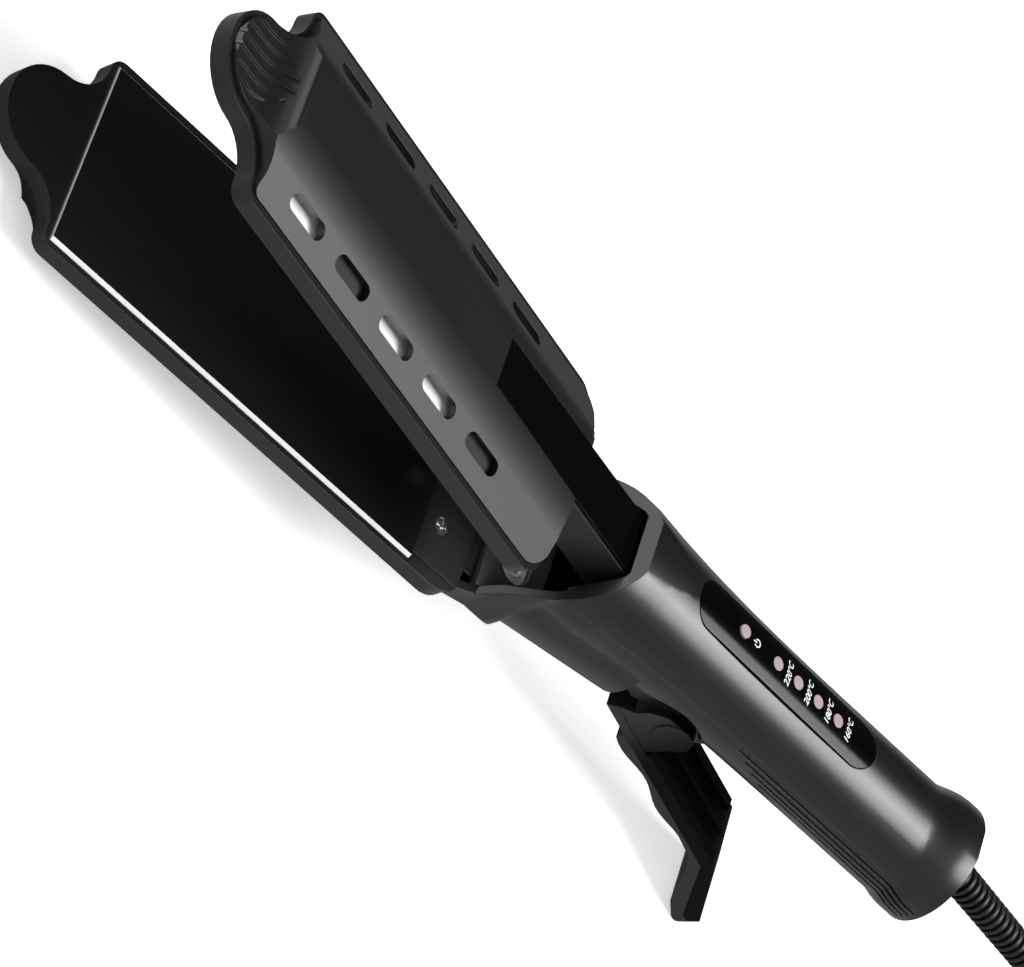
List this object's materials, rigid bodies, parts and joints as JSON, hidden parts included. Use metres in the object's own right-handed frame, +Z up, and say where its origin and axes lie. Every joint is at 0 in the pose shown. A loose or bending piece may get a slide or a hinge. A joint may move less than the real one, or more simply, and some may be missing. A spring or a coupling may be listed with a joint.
{
  "type": "hair straightener",
  "caption": "Lever-type wide-plate hair straightener: fixed lower jaw and handle, sprung upper jaw swung by a scalloped finger lever, round-dot control panel and coiled mains lead with plug.",
  "frame": {"origin": "on the surface that the iron stands on, below the middle of its length from the upper jaw's nose to the strain relief's end, in its middle plane", "axes": "+X runs from the jaws to the cord end, +Z up from the surface, +Y completes the right-handed set; the iron lies tipped up on the lower jaw's crease and the lever's tip, with the jaws sprung open"},
  "size_m": [0.4677, 0.0808, 0.08],
  "materials": {
    "shell_plastic": "satin",
    "jaw_plastic": "satin",
    "gloss_black": "high gloss",
    "heat_plastic": "matte",
    "lever_plastic": "semi-gloss",
    "plate_coating": "gloss ceramic coating",
    "bare_aluminium": "brushed",
    "steel": "plain",
    "spring_steel": "plain",
    "white_plastic": "satin",
    "lens": "translucent satin",
    "board": "satin",
    "component": "plain",
    "rubber_black": "matte",
    "silicone_pad": "matte",
    "wire_white": "satin",
    "pin_metal": "nickel plated"
  },
  "bodies": {
    "base": {"handle_lower_shell": "shell_plastic", "handle_upper_shell": "shell_plastic", "lower_jaw_frame": "jaw_plastic", "lower_jaw_cover": "jaw_plastic", "lower_heating_plate": "plate_coating", "lower_end_holder": "heat_plastic", "lower_heater": "bare_aluminium", "lower_heat_shield": "bare_aluminium", "lower_thermal_fuse": "steel", "lower_jaw_screws": "steel", "lower_slot_pads": "silicone_pad", "root_bridge": "heat_plastic", "wire_clip": "white_plastic", "control_panel": "gloss_black", "indicator_lenses": "lens", "circuit_board": "board", "board_components": "component", "tact_switch": "component", "indicator_leds": "white_plastic", "board_screws": "steel", "hinge_bushes": "white_plastic", "torsion_spring": "spring_steel", "strain_relief": "rubber_black", "cord_clamp": "heat_plastic", "cord_clamp_screws": "steel", "handle_screws": "steel", "mains_wires": "wire_white", "heater_wires": "wire_white", "cord": "rubber_black", "cord_coil": "rubber_black", "cord_end": "rubber_black", "cord_tie": "rubber_black", "plug": "rubber_black", "plug_pins": "pin_metal"},
    "upper": {"upper_jaw_frame": "jaw_plastic", "upper_jaw_cover": "jaw_plastic", "upper_arm_and_lever": "lever_plastic", "arm_inlay": "gloss_black", "upper_heating_plate": "plate_coating", "upper_end_holder": "heat_plastic", "upper_heater": "bare_aluminium", "upper_heat_shield": "bare_aluminium", "upper_thermal_fuse": "steel", "upper_jaw_screws": "steel", "upper_slot_pads": "silicone_pad", "arm_wires": "wire_white", "lever_finger_grip": "lever_plastic", "grip_screw": "steel", "hinge_pin": "steel"},
    "button": {"power_button": "lens", "switch_plunger": "component"}
  },
  "joints": [
    {"name": "jaw_hinge", "type": "hinge", "parent": "base", "child": "upper", "pos_m": [0.04204, 0, 0.03759], "axis": [0, -1, 0], "range_deg": [0, 13.5], "stiffness_Nm_per_rad": 1.06, "springref_deg": -13.52, "deforming": ["torsion_spring"]},
    {"name": "power_button_press", "type": "slide", "parent": "base", "child": "button", "axis": [0.1268, 0, -0.9919], "range_m": [0, 0.0006], "stiffness_N_per_m": 400, "springref_m": -0.0005}
  ]
}
